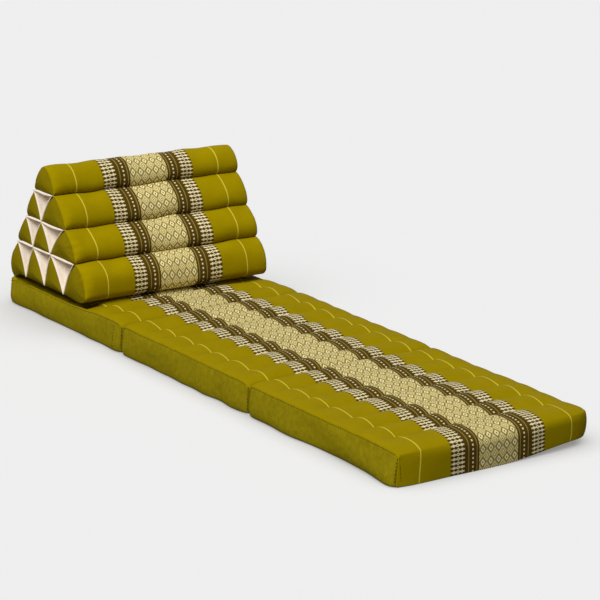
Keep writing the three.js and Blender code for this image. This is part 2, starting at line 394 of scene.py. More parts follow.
def placeSections():  # head and foot corner of each section along the mattress
    y = mattressPlan.halfLength
    wrapped = mattressPlan.endRun + mattressPlan.endChannel / 2
    for section in sections.values():
        length = sum(section.channels) / 1000 + wrapped * section.ends.count("rounded")
        section["corners"] = (y, y - length)
        start = y - wrapped if section.ends[0] == "rounded" else y
        section["valleys"] = start - np.cumsum([0, *section.channels]) / 1000
        y -= length


def fromEnds(section, y, kind):  # distance along the mattress to the nearest end of one kind
    away = [np.abs(y - corner) for end, corner in zip(section.ends, section.corners) if end == kind]
    return np.min([np.ones(np.shape(y)), *away], axis=0)


def besideEnds(section, y, kind, plan, power):  # an amount at such an end, fading away from it
    amount, run = plan
    return amount * np.exp(-(fromEnds(section, y, kind) / run) ** power)


def flankDraw(section, y, far):  # how far the flank is drawn in beside a fold seam or a stitched corner
    plan = mattressPlan
    return (np.where(far, plan.farJoint, 1) * besideEnds(section, y, "joint", plan.jointDraw, 1)
            + besideEnds(section, y, "rounded", plan.cornerDraw, 1))


def sideSeam(section, y, far):  # height of the seam between the top and the side panel
    plan = mattressPlan
    dip = besideEnds(section, y, "joint", plan.seamDip, 1.5) * np.where(far, plan.farJoint, 1)
    drop = besideEnds(section, y, "rounded", plan.cornerDrop, 1.5)
    sink = plan.headSink * smoothStep(*plan.sinkAt, y)
    sink = (sink + plan.headDrop * smoothStep(*plan.dropAt, y)) * np.where(far, plan.farShare, 1)
    toValley = np.abs(np.asarray(y)[..., None] - section.valleys).min(-1)
    sink = sink + np.where(far, *plan.seamWave) * np.exp(-(toValley / plan.waveRun) ** 2)
    return plan.seamHeight - dip - drop - sink


def crown(share):  # how much of the filling's height is left, from the middle (0) to the side seam (1)
    return (1 - np.clip(np.abs(share), 0, 1) ** 4) ** 0.6


liePlan = Plan(  # how the whole mattress lies, with spans along and across it
    top=0.08, sway=(0.32, 0.0011), heave=(0.30, 0.0009),
    splay=(0.014, 0.008),  # near foot corner spreads on the floor, sideways and forwards
    splayAt=((-0.70, -0.81), (-0.10, -0.24)),
    belly=0.007,  # the far foot corner swells sideways
    bellyAt=((-0.72, -0.80), (0.15, 0.247)),
    tuck=0.0020,  # how far the lower edges draw in under the flank
    tuckBelow=0.02, tuckAt=(0.15, 0.245),
    cornerRound=(0.002, 0.016),  # how far the near and far corners round off in plan
    roundFrom=0.212, roundRun=0.040, roundAt=(0.765, 0.815),
    headRun=0.010,  # the head end lies pushed out
    footRun=0.005, runAt=(0.66, 0.80),
    farSink=0.006,  # the far edge sinks in front of the back rest
    sinkAt=((0.34, 0.50), (0.10, 0.24)), sinkEnd=(0.52, 0.62),
    cornerLift=0.016,  # far half of the foot end curls up off the floor
    liftAt=((-0.74, -0.83), (0.0, 0.22)),
)


def settle(points):  # from a straight, level mattress to the way it lies
    plan = liePlan
    x, y, z = np.moveaxis(points, -1, 0)
    moved = points.copy()
    high = np.clip(z / plan.top, 0, 1)
    low = np.clip(1 - z / plan.tuckBelow, 0, 1) ** 2
    nearFoot = zone(plan.splayAt, y, x) * (1 - high)
    farFoot = zone(plan.bellyAt, y, x) * 4 * high * (1 - high)
    moved[..., 0] += unevenness(0 * y, y, 11, *plan.sway)
    moved[..., 0] += plan.belly * farFoot - plan.splay[0] * nearFoot
    moved[..., 0] -= np.sign(x) * plan.tuck * low * smoothStep(*plan.tuckAt, np.abs(x))
    across = np.minimum(np.abs(x), mattressPlan.seamHalf)
    bend = np.clip((across - plan.roundFrom) / plan.roundRun, 0, 1)
    bend = (1 - np.sqrt(1 - bend ** 2)) * np.where(x < 0, *plan.cornerRound)
    moved[..., 1] -= plan.splay[1] * nearFoot
    moved[..., 1] += bend * (smoothStep(*plan.roundAt, -y) - smoothStep(*plan.roundAt, y))
    moved[..., 1] += plan.headRun * smoothStep(*plan.runAt, y)
    moved[..., 1] -= plan.footRun * smoothStep(*plan.runAt, -y)
    moved[..., 2] += unevenness(x, y, 12, *plan.heave) * high
    beside = zone(plan.sinkAt, y, x) * (1 - smoothStep(*plan.sinkEnd, y))
    moved[..., 2] -= plan.farSink * beside * high
    moved[..., 2] += plan.cornerLift * zone(plan.liftAt, y, x) * (1 - high)
    moved[..., 0] += mattressPlan.middle
    return moved


slotPlan = Plan(  # the cover under the near edge of the back rest
    depth=0.022, at=((0.43, 0.52), (-0.18, -0.21)), end=(0.772, 0.798), height=(0.03, 0.06),
    seamRun=0.010,  # it comes up again to the seam
    over=0.0005,  # nothing stands higher than this over the seam
    overAt=((0.60, 0.68), (-0.17, -0.20)),
    free=0.03,  # but it does further in
    headRise=0.022,  # and at the very head
    headAt=((0.785, 0.805), (-0.252, -0.236)),
)


def sinkSlot(points, x, seamZ):  # heights of the cover with the slot under the back rest
    plan = slotPlan
    y, z = points[..., 1], points[..., 2]
    toSeam = np.clip((x + mattressPlan.seamHalf) / plan.seamRun, 0, 1) ** 0.7
    sunk = zone(plan.at, y, x) * (1 - smoothStep(*plan.end, y)) * smoothStep(*plan.height, z)
    ceiling = seamZ + plan.over + plan.free * (1 - zone(plan.overAt, y, x))
    ceiling = ceiling + plan.headRise * zone(plan.headAt, y, x)
    return np.minimum(z - plan.depth * sunk * toSeam, ceiling)


def channelTop(section, seed):  # rows from head to foot along the top: y and height
    plan = mattressPlan
    rng = np.random.default_rng(seed)
    headRounded, footRounded = (end == "rounded" for end in section.ends)
    runs = [width / 1000 for width in section.channels]
    y = section.corners[0]
    if headRounded:
        y = y - plan.endRun
        runs = [plan.endChannel / 2, *runs]
    if footRounded:
        runs = [*runs, plan.endChannel / 2]
    rows, valleys = [], []
    for index, run in enumerate(runs):
        first, last = index == 0, index == len(runs) - 1
        halfFirst, halfLast = first and headRounded, last and footRounded
        start = plan.joint if first and not halfFirst else plan.valley
        end = plan.joint if last and not halfLast else plan.valley
        crest = plan.crest + (0 if halfFirst or halfLast else rng.normal(0, plan.crestSpread))
        count = plan.perChannel // 2 if halfFirst or halfLast else plan.perChannel
        for step in range(count + last):
            t = step / count
            phase = 0.5 + t / 2 if halfFirst else t / 2 if halfLast else t
            rise = math.sin(math.pi * min(phase, 1)) ** plan.fullness if 0 < phase < 1 else 0
            floor = start + (end - start) * phase
            rows.append((y - run * t, floor + (crest - floor) * rise))
        y -= run
        valleys.append(y)
    return np.array(rows), np.array(valleys[:-1])


def roundedEnd(corner, direction):  # rows down over a rounded end: middle y, z and edge y, z
    plan = mattressPlan
    seam, endRun, square = plan.seamHeight, plan.endRun, plan.endSquare
    upper, lower = (np.linspace(0, math.pi / 2, count)[1:] for count in plan.endSteps)
    out = np.concatenate([-endRun + (endRun + plan.endBulge) * np.sin(upper) ** square,
                          plan.endBulge - plan.endTuck * (1 - np.cos(lower) ** square)])
    z = np.concatenate([plan.endMiddle + (plan.crest - plan.endMiddle) * np.cos(upper) ** square,
                        plan.endMiddle * (1 - np.sin(lower) ** square)])
    run = np.linspace(0, 1, len(out) + 1)[1:] * (endRun + seam)
    edgeOut = -np.clip(endRun - run, 0, None)
    edgeZ = np.clip(endRun + seam - run, plan.lowEdge, seam)
    return np.stack([corner + direction * out, z, corner + direction * edgeOut, edgeZ], axis=1)


def sectionLoop(section, seed):  # all round one section, from the head along the top and back underneath
    plan = mattressPlan
    head, foot = section.corners
    top, valleys = channelTop(section, seed)
    rows = [np.stack([top[:, 0], top[:, 1], top[:, 0], sideSeam(section, top[:, 0], False)], axis=1)]
    down = np.linspace(1, 0, plan.wallSteps)[1:]
    if section.ends[1] == "rounded":
        rows.append(roundedEnd(foot, -1))
    else:
        rows.append(np.stack([0 * down + foot + plan.jointGap, down * plan.joint] * 2, axis=1))
    if section.ends[0] == "rounded":
        headWall = roundedEnd(head, 1)[::-1]
        lowHead = head + plan.endBulge - plan.endTuck
    else:
        headWall = np.stack([0 * down + head - plan.jointGap, (1 - down) * plan.joint] * 2, axis=1)
        lowHead = head - plan.jointGap
    under = np.linspace(0, 1, plan.underSteps)[1:-1]
    lowFoot = rows[-1][-1, 0]
    underY = lowFoot + (lowHead - lowFoot) * under
    edgeY = np.clip(underY, foot, head)
    rows.append(np.stack([underY, 0 * under, edgeY, 0 * under + plan.lowEdge], axis=1))
    return np.concatenate([*rows, headWall]), valleys, len(top)


def makeSection(name, section, seed, startAlong):
    plan = mattressPlan
    loop, valleys, topCount = sectionLoop(section, seed)
    fine = 1 - plan.edgeShare * (1 - np.linspace(0, 1, plan.edgeColumns + 1)[1:]) ** 1.8
    share = np.concatenate([np.linspace(0, 1 - plan.edgeShare, plan.flatColumns), fine])
    share = np.concatenate([-share[:0:-1], share])
    x = share * plan.seamHalf
    fade = crown(share)
    way = arcLength(np.stack([x, (plan.crest - plan.seamHeight) * fade], axis=1))
    way = way - way[len(way) // 2]

    # middle line and side seams of every row, and how much of the sewn valleys is left across it
    middle, edge = (np.repeat(part[:, None], len(x), axis=1) for part in (loop[:, :2], loop[:, 2:]))
    topY = loop[:topCount, 0]
    edge[:topCount, x > 0, 1] = sideSeam(section, topY, True)[:, None]
    for far in (False, True):
        sunkShare = sideSeam(section, loop[topCount:, 2], far) / plan.seamHeight
        edge[topCount:, (x > 0) == far, 1] *= sunkShare[:, None]
    toBrow = np.clip(1 - fromEnds(section, topY, "joint") / plan.browRun, 0, 1)
    brow = plan.joint + (plan.crest - plan.joint) * np.sqrt(1 - toBrow ** 2)
    dip = 1 - (1 - np.where(x < 0, *plan.edgeDip)) * smoothStep(*plan.dipAt, np.abs(x))
    dip = dip * (plan.middleDip + (1 - plan.middleDip) * smoothStep(*plan.middleAt, np.abs(x)))
    lift = np.clip(brow - loop[:topCount, 1], 0, None)[:, None] * (1 - dip)
    middle[:topCount, :, 1] += lift - (plan.pressed * smoothStep(*plan.pressedAt, topY))[:, None]

    # the near half of an end stands flatter than the far half
    points = np.zeros((len(loop), len(x), 3))
    points[..., 1:] = edge + (middle - edge) * fade[:, None]
    flat = np.where(x < 0, 1 - np.abs(share) ** 2.5, fade)
    points[topCount:, :, 1] = (edge + (middle - edge) * flat[:, None])[topCount:, :, 0]
    points[..., 2] = sinkSlot(points, x, edge[..., 1])
    draw = flankDraw(section, points[..., 1], x > 0) * smoothStep(*plan.drawAt, np.abs(x))
    points[..., 0] = x - np.sign(x) * draw

    # stitched lines wander a little, and the cloth puckers beside them
    top, y = points[:topCount], topY[:, None]
    free = smoothStep(*plan.freeAt, np.minimum(y - topY.min(), topY.max() - y)) * fade * dip
    nearest = np.abs(y[..., None] - valleys).min(-1)
    nearStitch = np.exp(-(nearest / plan.puckerRun) ** 2) * smoothStep(*plan.puckerAt, nearest)
    top[..., 1] += unevenness(x, y, seed + 20, *plan.wander) * free
    top[..., 2] += unevenness(x, 3 * y, seed + 40, *plan.pucker) * nearStitch * fade * dip
    top[..., 2] += unevenness(x, y, seed + 60, *plan.lumps) * smoothStep(*plan.lumpsAt, nearest) * free

    along = startAlong + roundLength(loop[:, :2])
    uvs = np.stack(np.meshgrid(way, along), axis=-1)
    return makeFilled(name, settle(points), uvs, shadedMattressCloth), along[topCount - 1]


placeSections()
startAlong = 0.0
for seed, (label, section) in enumerate(sections.items()):
    piece, startAlong = makeSection("quilted_" + label, section, seed, startAlong)
    putInPlace(piece, "mattress_section_" + label)
print("mattress sections made")


panelPlan = Plan(
    seamHalf=0.2474,  # outside face at its seams, from the middle of the mattress
    bulge=0.0098,  # widest low down
    lowStart=0.16,  # share of the bulge's round that lies under the floor
    holdRun=0.010,  # held flat this near to its ends
    low=0.0016, underSeam=0.0006, thickness=0.0014, step=0.006, rows=19,
    lumps=(0.12, 0.25), lumpHeight=0.07, ripple=(0.020, 0.0007),
    closeAt=(-0.70, -0.79),  # its lower edge meets the cover where the far foot corner is lifted
    closeUpTo=0.25, flatHeight=0.072,
)


def panelShape(section, side, y, level, seed):  # outside of a flank: places along it, and levels from 0 to 1
    plan = panelPlan
    head, foot = section.corners
    hold = 1 - np.exp(-np.minimum(head - y, y - foot) / plan.holdRun)
    lean = (plan.lowStart + (1 - plan.lowStart) * level) ** 0.72
    out = plan.bulge * (1 - (2 * lean - 1) ** 2) ** 0.75 * hold
    out = out * (1 + unevenness(y, plan.lumpHeight * level, seed + 80, *plan.lumps))
    out = out + unevenness(y, 0 * y, seed + 90, *plan.ripple) * level ** 4 * (1 - level ** 12)
    lifted = smoothStep(*plan.closeAt, y) * (side > 0)
    out = out * (1 - lifted * (1 - smoothStep(0, plan.closeUpTo, level)))
    points = np.zeros((*y.shape, 3))
    points[..., 0] = side * (plan.seamHalf + out - flankDraw(section, y, side > 0))
    points[..., 1] = y
    points[..., 2] = plan.low + (sideSeam(section, y, side > 0) - plan.underSeam - plan.low) * level
    return settle(points)


def makePanel(name, section, side, seed):
    plan = panelPlan
    head, foot = section.corners
    gap = mattressPlan.jointGap
    y, level = np.meshgrid(np.linspace(head - gap, foot + gap, int((head - foot) / plan.step)),
                           np.linspace(0, 1, plan.rows))
    points = panelShape(section, side, y, level, seed)
    uvs = np.stack([y, points[..., 2]], axis=-1)
    if side > 0:
        points, uvs = points[:, ::-1], uvs[:, ::-1]
    piece = makePiece(name, points, *gridFaces(points, uvs, False), sideCloth)
    thicken(piece, plan.thickness, -1)
    return piece


for seed, (label, section) in enumerate(sections.items()):
    head, foot = section.corners
    for side, sideName in bothSides:
        piece = makePanel("side_cloth_" + sideName + "_" + label, section, side, seed + 5 * side)
        putInPlace(piece, "side_panel_" + sideName + "_" + label)
print("side panels made")


# stitching

stitchPlan = Plan(
    pitch=0.0078, length=0.0052,
    loose=0.0003,  # their places vary by this much
    radius=0.00075, taper=(0.6, 1, 1, 1, 0.6),
    arch=0.0006,  # how far the middle of a stitch stands off the cloth
    bow=(-1.4, 0.6, 1.0, 0.6, -1.4),  # shares of that along the stitch
    sides=6,
    flankRow=(0.10, 0.93, 40),  # share of the flank's height where a row starts and ends, and its points
    cornerRow=(0.008, 0.062, 40),  # the same in metres, on the end of the mattress
    cornerGap=0.003, cornerOut=0.004, jointGap=0.004,
    flap=0.030,  # second row beside the first joint
    seamLevel=0.955,  # row along the top seam
    seamGap=0.01, seamPoints=120,
)


def makeStitches(name, cloth, rows):  # rows of running stitches laid on a piece of cloth
    plan, sides, count = stitchPlan, stitchPlan.sides, len(stitchPlan.bow)
    rng = np.random.default_rng(len(rows[0]))
    points, faces = [], []
    turn = np.linspace(0, 2 * math.pi, sides, endpoint=False)[:, None]
    for row in rows:
        run = arcLength(row)
        for place in np.arange(plan.pitch / 2, run[-1], plan.pitch):
            ends = place + plan.length * np.linspace(-0.5, 0.5, count) + rng.normal(0, plan.loose)
            spine = np.stack([np.interp(ends, run, row[:, axis]) for axis in range(3)], axis=1)
            snapped = [cloth.closest_point_on_mesh(Vector(spot))[1:3] for spot in spine]
            outward = np.array([normal for _, normal in snapped])
            spine = np.array([spot for spot, _ in snapped])
            spine = spine + outward * (plan.arch * np.array(plan.bow))[:, None]
            way = spine[-1] - spine[0]
            way = way / np.linalg.norm(way)
            first = len(points)
            for spot, up, thick in zip(spine, outward, plan.taper):
                ring = np.cos(turn) * up + np.sin(turn) * np.cross(way, up)
                points.extend(spot + plan.radius * thick * ring)
            index = np.arange(first, len(points)).reshape(count, sides)
            quads = cellsOf(np.concatenate([index, index[:, :1]], axis=1))
            faces.extend([*quads.tolist(), index[0, ::-1].tolist(), index[-1].tolist()])
    mesh = bpy.data.meshes.new(name)
    mesh.from_pydata([tuple(point) for point in points], [], faces)
    mesh.shade_smooth()
    mesh.materials.append(stitchThread)
    piece = addObject(name, mesh)
    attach(piece, "root")


def flankRow(section, side, y, seed):  # a row of places up the flank
    level = np.linspace(*stitchPlan.flankRow)
    return panelShape(section, side, y + 0 * level, level, seed)


for seed, (label, section) in enumerate(sections.items()):
    head, foot = section.corners
    atHead, atFoot = head - stitchPlan.cornerGap, foot + stitchPlan.cornerGap
    atJoint, atFlap = foot + stitchPlan.jointGap, foot + stitchPlan.flap
    places = {"head": [atHead, atJoint, atFlap], "middle": [atJoint], "foot": [atFoot]}[label]
    gap = stitchPlan.seamGap
    alongSeam = np.linspace(head - gap, foot + gap, stitchPlan.seamPoints)
    for side, sideName in bothSides:
        rows = [flankRow(section, side, y, seed + 5 * side) for y in places]
        level = stitchPlan.seamLevel + 0 * alongSeam
        rows.append(panelShape(section, side, alongSeam, level, seed + 5 * side))
        cloth = bpy.data.objects["side_cloth_" + sideName + "_" + label]
        makeStitches("stitches_" + sideName + "_" + label, cloth, rows)
for side, sideName in bothSides:
    for label, end in (("head", 1), ("foot", -1)):
        height = np.linspace(*stitchPlan.cornerRow)
        x = mattressPlan.middle + side * (mattressPlan.seamHalf - stitchPlan.cornerGap)
        y = end * (mattressPlan.halfLength + stitchPlan.cornerOut)
        row = np.stack([x + 0 * height, y + 0 * height, height], axis=1)
        cover = bpy.data.objects["quilted_" + label]
        makeStitches("corner_stitches_" + sideName + "_" + label, cover, [row])
print("stitches made")


# back rest

tubePlan = Plan(
    middle=0.634, floor=0.0823, ridgePeak=-0.006, ridgeTilt=0.012, halfLength=0.256,
    farShare=0.962,  # the far ends are filled a little shorter
    farDraw=1.03,  # and their cloth is drawn in
    endPlaces=[0, 0.0015, 0.004, 0.008, 0.013, 0.019, 0.026],  # stations from an end inwards
    bodyPlaces=(0.034, 44),  # then evenly from here to the middle
    openSteps=36, hiddenSteps=12, stepWay=0.0025, frontSwell=0.022,
    bottomSwell=0.027,  # front of the bottom row
    backSwell=0.012, wallSwell=0.005,
    sag=0.72,  # under 1 the fullest part of a roll lies below its middle
    bottomSag=1.20,
    endShare=(0.42, 0.86),  # of the swell is left at the near and the far end
    endRound=(0.028, 0.034),
    endDrop=0.003,  # the ends of the bottom row hang over the sunken seams
    backDrop=0.018,  # most of all at the back
    backDraw=0.007,
    frontSag=0.007,  # the front one sinks into the quilting
    hangRun=0.07, frontStart=0.02, backStart=0.03, dropBelow=0.045, drawBelow=0.06,
    slackUp=(0.11, 0.0014),  # the rows don't lie quite straight
    slackAlong=(0.14, 0.0014), slackAbove=0.05,
    cornerDraw=(0.004, 0.05),  # how far the showing edge of an end draws back, and how soon that fades
    edgeFall=0.018, footRound=0.020, ridgeRound=0.045,
    roundPasses=900,  # of smoothing, for each metre
    roundPace=0.7, shrink=0.997, lumps=(0.13, 0.07), pucker=(0.014, 0.0006),
    puckerRun=0.012, puckerFull=0.006, farPucker=0.3, fill=0.9,
)

tubeRows = [  # from the ridge down: lower corners of the tubes from front to back
    Plan(corners=[-0.050, 0.038], height=0.070, askew=-4.6),
    Plan(corners=[-0.097, 0.004, 0.082], height=0.074, askew=-3.8),
    Plan(corners=[-0.142, -0.037, 0.048, 0.128], height=0.072, askew=-3.6),
    Plan(corners=[-0.190, -0.093, -0.001, 0.090, 0.184], height=0.083, askew=-2.8),
]
for level, row in enumerate(tubeRows):
    row["tubes"] = len(row.corners) - 1
    row["peaks"] = tubeRows[level - 1].corners if level > 0 else [tubePlan.ridgePeak]
    row["floor"] = tubePlan.floor + sum(lower.height for lower in tubeRows[level + 1:])


def rowPlace(points, level):  # from the row's own frame to its place on the mattress
    plan, row = tubePlan, tubeRows[level]
    corners = row.corners
    x, y, z = np.moveaxis(points, -1, 0)
    placed = points.copy()
    if level == 0:
        placed[..., 2] *= 1 - plan.ridgeTilt * x / row.height
    if row is tubeRows[-1]:
        nearEnd = np.clip(1 - (plan.halfLength - np.abs(x)) / plan.hangRun, 0, 1) ** 2
        back = smoothStep(corners[0] + plan.frontStart, corners[1], y)
        atBack = smoothStep(corners[-2] + plan.backStart, corners[-1], y)
        drop = (plan.endDrop * back + plan.backDrop * atBack) * nearEnd + plan.frontSag * (1 - back)
        placed[..., 2] -= drop * np.clip(1 - z / plan.dropBelow, 0, 1)
        placed[..., 1] -= plan.backDraw * atBack * nearEnd * np.clip(1 - z / plan.drawBelow, 0, 1)
    placed[..., 1] += x * math.tan(math.radians(row.askew)) + plan.middle
    placed[..., 2] += row.floor
    y, z = placed[..., 1].copy(), placed[..., 2].copy()
    free = smoothStep(0.0, plan.slackAbove, z - plan.floor)
    placed[..., 2] += free * unevenness(x, y + z, 61, *plan.slackUp)
    placed[..., 1] += free * unevenness(x, z, 62, *plan.slackAlong)
    return placed


def tubeSides(row, index):  # corners of a tube's section, with each side's swell and whether it shows
    plan = tubePlan
    low, far = np.array([row.corners[index], 0.0]), np.array([row.corners[index + 1], 0.0])
    peak = np.array([row.peaks[index], row.height])
    front, back = index == 0, index == row.tubes - 1
    frontSwell = plan.bottomSwell if row is tubeRows[-1] else plan.frontSwell
    return [
        (low, far, 0.0, False),
        (far, peak, plan.backSwell if back else plan.wallSwell, back),
        (peak, low, frontSwell if front else plan.wallSwell, front),
    ]


def tubeGrid(level, index, seed):  # points of one tube, stations along it by steps round it
    plan, row = tubePlan, tubeRows[level]
    bottom = row is tubeRows[-1]
    base, rise, shows = [], [], []
    for start, end, swell, shown in tubeSides(row, index):
        count = plan.openSteps if shown else plan.hiddenSteps
        t = np.linspace(0, 1, count, endpoint=False)
        way = end - start
        outward = np.array([way[1], -way[0]]) / np.linalg.norm(way)
        up = t if end[1] > start[1] else 1 - t
        lean = up ** (plan.bottomSag if bottom else plan.sag) if shown else up
        base.append(start + t[:, None] * way)
        rise.append((swell * np.clip(1 - (2 * lean - 1) ** 2, 0, 1) ** 0.8)[:, None] * outward)
        shows.append(np.full(count, float(shown)))
    base, rise, shows = (np.concatenate(part) for part in (base, rise, shows))
    middle = base.mean(axis=0)
    base = middle + (base - middle) * plan.shrink

    half = plan.halfLength
    bodyStart, bodyCount = plan.bodyPlaces
    inward = np.concatenate([plan.endPlaces, np.linspace(bodyStart, half, bodyCount)])
    x = np.concatenate([-half + inward, (half - inward[:-1])[::-1]])
    inward = half - np.abs(x)
    x = np.where(x > 0, plan.farShare, 1) * x
    turnIn = np.clip(1 - inward / np.where(x < 0, *plan.endRound), 0, 1)
    endShare = np.where(x < 0, *plan.endShare)
    share = endShare + (1 - endShare) * np.sqrt(1 - turnIn ** 2)

    # filling packs unevenly along and round the tube, and the cloth puckers at the end seams
    stepWay = np.arange(len(base)) * plan.stepWay
    lumps = 1 + unevenness(x[:, None], stepWay[None, :], seed, *plan.lumps)
    puckers = unevenness(0 * x[:, None], stepWay[None, :], seed + 7, *plan.pucker)
    puckers = puckers * (np.exp(-inward / plan.puckerRun) * np.where(x < 0, 1, plan.farPucker))[:, None]
    full = np.linalg.norm(rise, axis=1)
    outward = rise / np.maximum(full, 1e-9)[:, None]
    reach = full * (1 + (share[:, None] - 1) * shows) * np.where(shows > 0, lumps, 1)
    reach = reach + puckers * shows * smoothStep(0, plan.puckerFull, full)
    section = base + outward * reach[..., None]
    for start, end, _, shown in tubeSides(row, index):
        for corner in (start, end) if shown else ():
            if level == 0 and corner[1] > 0:
                section = roundCorner(section, corner, plan.ridgeRound)
            elif bottom and corner[1] == 0:
                section = roundCorner(section, corner, plan.footRound)

    drawBack, drawRun = plan.cornerDraw
    draw = drawBack * edgeWeight(row, index, base) * (np.clip(1 - inward / drawRun, 0, 1) ** 2)[:, None]
    points = np.zeros((len(x), len(base), 3))
    points[..., 0] = x[:, None] - np.sign(x)[:, None] * draw
    points[..., 1:] = section
    return points


def roundCorner(section, corner, size):  # works the two sides that meet there into one rounded turn
    near = smoothStep(size, size / 4, np.linalg.norm(section - corner, axis=-1))[..., None]
    for _ in range(int(size * tubePlan.roundPasses)):
        soft = (np.roll(section, 1, axis=1) + np.roll(section, -1, axis=1)) / 2
        section = section + near * (soft - section) * tubePlan.roundPace
    return section


def edgeWeight(row, index, base):  # 1 on a side that shows, falling off across the end of the tube
    weight = np.zeros(len(base))
    for start, end, _, shown in tubeSides(row, index):
        if shown:
            way = (end - start) / np.linalg.norm(end - start)
            away = np.abs((base - start) @ np.array([way[1], -way[0]]))
            weight = np.maximum(weight, np.exp(-(away / tubePlan.edgeFall) ** 2))
    return weight


def makeTube(name, level, index, seed):
    grid = tubeGrid(level, index, seed)
    along = roundLength(grid[len(grid) // 2][:, 1:])
    across = grid[:, 0, 0] * np.where(grid[:, 0, 0] > 0, tubePlan.farDraw, 1)
    uvs = np.stack(np.meshgrid(across, along), axis=-1)
    return makeFilled(name, rowPlace(grid, level).transpose(1, 0, 2), uvs, patternedCloth), grid


capPlan = Plan(
    rise=(0.0125, 0.0060),  # near and far end
    shares=[1.0, 0.985, 0.95, 0.9, 0.82, 0.72, 0.6, 0.46, 0.3, 0.15],
    lumps=(0.06, 0.0012), thickness=0.0014, stand=0.0004,
    seams=(0.006, 0.004),  # added to the width and the height of the cut
    areaShare=0.53,
)


def makeCap(name, grid, level, side, seed):
    plan = capPlan
    rim = grid[0] if side < 0 else grid[-1]
    centre = rim.mean(axis=0)
    rings = []
    for share in plan.shares:
        ring = centre + (rim - centre) * share
        lift = plan.stand + plan.rise[side > 0] * (1 - share ** 2.2)
        lift = lift + unevenness(ring[:, 1], ring[:, 2], seed, *plan.lumps) * (1 - share ** 4)
        ring[:, 0] += side * lift
        rings.append(ring)
    points = np.stack(rings, axis=1)
    quads, quadUvs = gridFaces(points, np.concatenate([points, points[:1]])[..., 1:], True)
    last = np.arange(len(rim)) * len(rings) + len(rings) - 1
    if side < 0:
        quads, quadUvs = quads[:, ::-1], quadUvs[:, ::-1]
    else:
        last = last[::-1]
    piece = makePiece(name, rowPlace(points, level), quads, quadUvs, plainCloth, [last])
    thicken(piece, plan.thickness, 1)
    return piece


liningPlan = Plan(
    wall=(0.0050, 0.0090),  # how far a side wall bellies in at the mouths, and how much more inside
    top=(0.0022, 0.0045),  # the top edge of a mouth hangs a little
    deepRun=0.060,
    beads=(0.45, 0.75, 1.0),  # thickness of the rim at the front, the back and the top
    roomStart=0.03, inset=0.0013, behindLip=0.0008, thickness=0.0010,
    lip=[(-0.0050, 0.0014), (-0.0053, 0.0030), (-0.0045, 0.0046), (-0.0028, 0.0056), (-0.0010, 0.0054),
            (0.0002, 0.0038), (0.0006, 0.0010)],
    mouthPlaces=(0.004, 0.010, 0.018),  # stations from a mouth inwards
    deepPlaces=(0.03, 26),  # then evenly from here
    sag=(0.09, 0.0012),
    cornerTuck=0.014,  # inside, the lining stays back from the creases between the rows
    cornerSize=0.016, tuckRun=0.030,
    frontTuck=(0.012, -0.003),  # far and near mouth, where the front corner stands out of the crease
    backTuck=0.003, steps=18,
)


def makeLining(name, level, index, seed):
    plan, row = liningPlan, tubeRows[level]
    near, far = (np.array([peak, row.height]) for peak in row.peaks[index:index + 2])
    foot = np.array([row.corners[index + 1], 0.0])
    walls = ((near, foot, *plan.wall), (foot, far, *plan.wall), (far, near, *plan.top))
    parts = []
    for (start, end, press, deepPress), thick in zip(walls, plan.beads):
        t = np.linspace(0, 1, plan.steps, endpoint=False)
        way = end - start
        inward = np.array([-way[1], way[0]]) / np.linalg.norm(way)
        belly = 1 - (2 * t - 1) ** 2
        room = np.sin(math.pi * np.clip(t, plan.roomStart, 1)) ** 0.4
        parts.append((start + t[:, None] * way + (press * belly)[:, None] * inward,
                      np.tile(inward, (plan.steps, 1)), room, deepPress * belly, thick + 0 * t))
    base, normal, room, pressed, bead = (np.concatenate(part) for part in zip(*parts))
    bead = (bead + np.roll(bead, 1) + np.roll(bead, -1)) / 3
    normal = normal + np.roll(normal, 1, axis=0)
    normal /= np.linalg.norm(normal, axis=1)[:, None]
    toCentre = base.mean(axis=0) - base
    toCentre /= np.linalg.norm(toCentre, axis=1)[:, None]

    # stations from the near lip through to the far one
    half, mouth = tubePlan.halfLength, np.array(plan.mouthPlaces)
    deepStart, deepCount = plan.deepPlaces
    deepPlaces = np.linspace(-half + deepStart, half - deepStart, deepCount)
    inside = np.concatenate([-half + mouth, deepPlaces, half - mouth[::-1]])
    stations = ([(-1, *step) for step in plan.lip]
                + [(0, plan.behindLip, x) for x in inside]
                + [(1, *step) for step in reversed(plan.lip)])
    rings = []
    for side, offset, place in stations:
        x = side * (half + place * bead) if side else place + 0 * bead
        reach = plan.inset + offset * (room * bead if offset < 0 else 1 + 0 * bead)
        sag = unevenness(x, base[:, 0], seed, *plan.sag) * (side == 0)
        deep = pressed * smoothStep(0.0, plan.deepRun, half - np.abs(x))
        ring = base + normal * (reach + sag + deep)[:, None]
        inner = smoothStep(0.0, plan.tuckRun, half - np.abs(x))
        for corner in (near, far, foot):
            beside = np.exp(-(np.linalg.norm(base - corner, axis=1) / plan.cornerSize) ** 2)
            tuck = plan.cornerTuck * inner
            if corner is near and index == 0:
                tuck = tuck + np.where(x > 0, *plan.frontTuck) * (1 - inner)
            if corner is far and index == row.tubes - 2:
                tuck = tuck + plan.backTuck * (1 - inner)
            ring = ring + toCentre * (tuck * beside)[:, None]
        rings.append(np.column_stack([x * np.where(x > 0, tubePlan.farShare, 1), ring]))
    points = np.stack(rings, axis=1)
    uvs = np.stack(np.meshgrid(points[0, :, 0], roundLength(base)), axis=-1)
    piece = makePiece(name, rowPlace(points, level), *gridFaces(points, uvs, True), creamCotton)
    thicken(piece, plan.thickness, 0)
    return piece, roundLength(points[:, points.shape[1] // 2])[-1]


